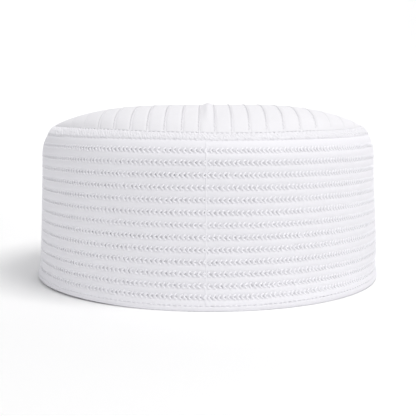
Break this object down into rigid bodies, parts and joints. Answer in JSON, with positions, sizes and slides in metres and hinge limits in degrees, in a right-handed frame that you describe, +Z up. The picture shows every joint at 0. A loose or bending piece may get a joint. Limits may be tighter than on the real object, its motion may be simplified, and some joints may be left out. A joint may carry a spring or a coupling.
{
  "type": "quilted prayer cap",
  "caption": "Stiff white quilted prayer cap: round side wall with sunken stitched rows, embroidered shoulder band and low domed crown of parallel puffed channels, open below for the head.",
  "frame": {"origin": "centre of the cap on the surface that its hem stands on", "axes": "+Z up through the crown, -Y towards the join in the side wall, +X to the wearer's right when the join is at the back"},
  "size_m": [0.186, 0.186, 0.0925],
  "materials": {
    "crown_cloth": "matt white cotton, quilted in channels",
    "band_cloth": "matt white cotton under dense white embroidery",
    "wall_cloth": "matt white cotton, ribbed by stitched rows",
    "hem_cloth": "matt white cotton, turned and stitched"
  },
  "bodies": {
    "root": {"crown": "crown_cloth", "edge_band": "band_cloth", "side_wall": "wall_cloth", "hem_band": "hem_cloth"}
  },
  "joints": []
}
